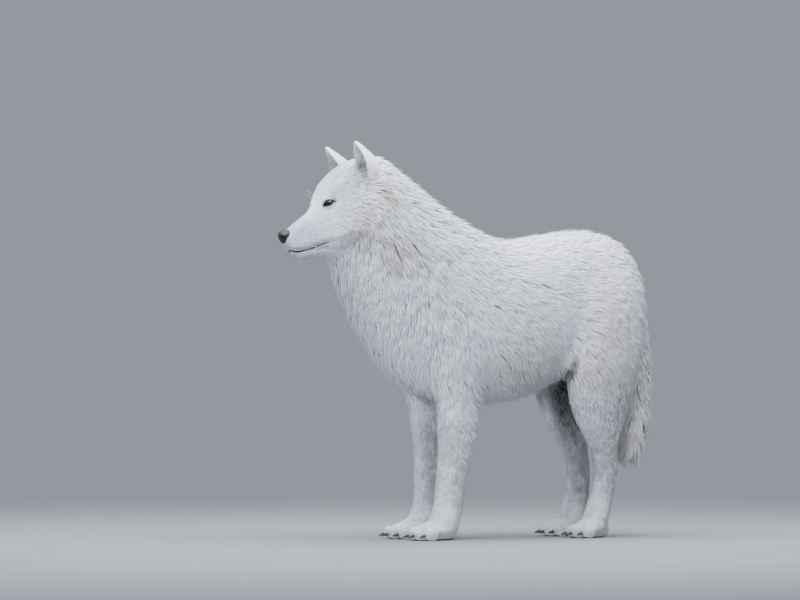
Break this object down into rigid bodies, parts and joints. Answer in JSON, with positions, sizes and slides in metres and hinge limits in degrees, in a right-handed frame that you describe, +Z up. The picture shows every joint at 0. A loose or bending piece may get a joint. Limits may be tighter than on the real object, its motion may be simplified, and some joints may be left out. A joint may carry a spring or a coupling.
{
  "type": "arctic wolf model",
  "caption": "Life-size still model of an arctic wolf in a thick white winter coat, standing square with its head up, ears pricked, mouth closed and tail hanging.",
  "frame": {"origin": "on the floor, under the middle of the model's bounding box", "axes": "+Z up, the nose points to -X, the left side to -Y"},
  "size_m": [1.0224, 0.3004, 0.9664],
  "materials": {
    "coat": "thick white fur, cream and pale grey in places",
    "nose": "moist black leather with a fine grain",
    "eye": "polished, dark brown with black rims",
    "claw": "worn dark horn"
  },
  "bodies": {
    "root": {"trunk": "coat", "neck": "coat", "head": "coat", "nose": "nose", "lower_jaw": "coat", "eye_left": "eye", "ear_left": "coat", "foreleg_left": "coat", "forefoot_left": "coat", "claw_forefoot_left_1": "claw", "claw_forefoot_left_2": "claw", "claw_forefoot_left_3": "claw", "claw_forefoot_left_4": "claw", "hindleg_left": "coat", "hindfoot_left": "coat", "claw_hindfoot_left_1": "claw", "claw_hindfoot_left_2": "claw", "claw_hindfoot_left_3": "claw", "claw_hindfoot_left_4": "claw", "eye_right": "eye", "ear_right": "coat", "foreleg_right": "coat", "forefoot_right": "coat", "claw_forefoot_right_1": "claw", "claw_forefoot_right_2": "claw", "claw_forefoot_right_3": "claw", "claw_forefoot_right_4": "claw", "hindleg_right": "coat", "hindfoot_right": "coat", "claw_hindfoot_right_1": "claw", "claw_hindfoot_right_2": "claw", "claw_hindfoot_right_3": "claw", "claw_hindfoot_right_4": "claw", "tail": "coat"}
  },
  "joints": []
}
